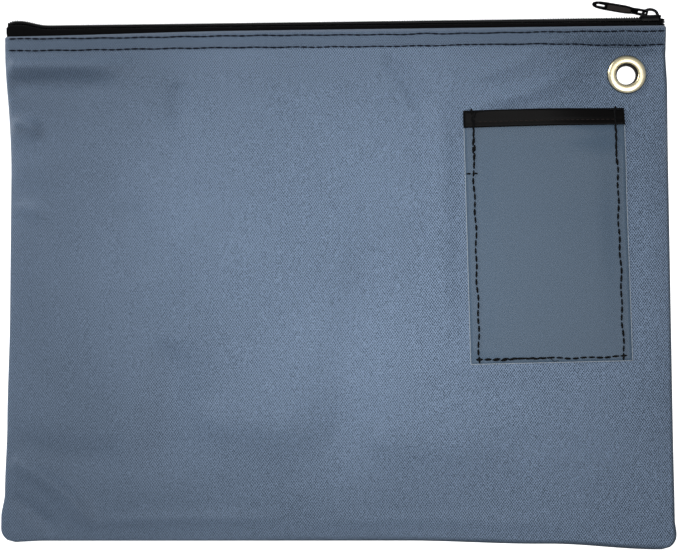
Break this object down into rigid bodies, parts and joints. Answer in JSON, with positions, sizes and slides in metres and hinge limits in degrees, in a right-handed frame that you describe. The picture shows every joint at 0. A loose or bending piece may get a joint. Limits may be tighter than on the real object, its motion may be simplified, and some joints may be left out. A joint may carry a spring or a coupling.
{
  "type": "cash deposit bag",
  "caption": "Flat zipped fabric cash bag with a coil zipper along its top edge, a sliding puller with a swinging tab, a clear card window and a corner grommet.",
  "frame": {"origin": "middle of the bag's flat underside, where the back panel rests on the table", "axes": "+X along the zipper toward its closed end, +Y from the bottom edge toward the zipper, +Z out of the front panel, away from the table"},
  "size_m": [0.381, 0.3155, 0.0145],
  "materials": {
    "bag_fabric_front": "blue-grey woven nylon duck with a coated back",
    "bag_fabric_back": "blue-grey woven nylon duck with a coated back",
    "zipper_tape_cloth": "black woven polyester tape",
    "zipper_coil_nylon": "black nylon monofilament",
    "slider_black_enamel": "black enamel on die-cast zinc",
    "tab_black_enamel": "black enamel on stamped metal",
    "grommet_brass": "bright rolled brass",
    "clear_vinyl_sheet": "clear flexible vinyl",
    "black_vinyl_binding": "black vinyl tape with a soft sheen",
    "black_thread": "black bonded sewing thread",
    "navy_thread": "dark navy bonded sewing thread",
    "seam_thread": "blue-grey sewing thread"
  },
  "bodies": {
    "bag": {"front_panel": "bag_fabric_front", "back_panel": "bag_fabric_back", "zipper_tape_front": "zipper_tape_cloth", "zipper_tape_back": "zipper_tape_cloth", "zipper_coil_front": "zipper_coil_nylon", "zipper_coil_back": "zipper_coil_nylon", "grommet": "grommet_brass", "grommet_washer": "grommet_brass", "card_window": "clear_vinyl_sheet", "window_binding": "black_vinyl_binding", "window_binding_stitch": "black_thread", "window_seam_stitch": "black_thread", "hem_stitch_upper_front": "navy_thread", "hem_stitch_lower_front": "navy_thread", "hem_stitch_upper_back": "navy_thread", "hem_stitch_lower_back": "navy_thread", "side_seam_left": "seam_thread", "side_seam_right": "seam_thread", "bottom_seam": "seam_thread"},
    "slider": {"slider_body": "slider_black_enamel"},
    "pull": {"pull_tab": "tab_black_enamel"}
  },
  "joints": [
    {"name": "slider_travel", "type": "slide", "parent": "bag", "child": "slider", "axis": [1, 0, 0], "range_m": [-0.342, 0]},
    {"name": "pull_swing", "type": "hinge", "parent": "slider", "child": "pull", "pos_m": [0.1806, 0.15555, 0.0068], "axis": [0, 0, -1], "range_deg": [-3, 155]}
  ]
}
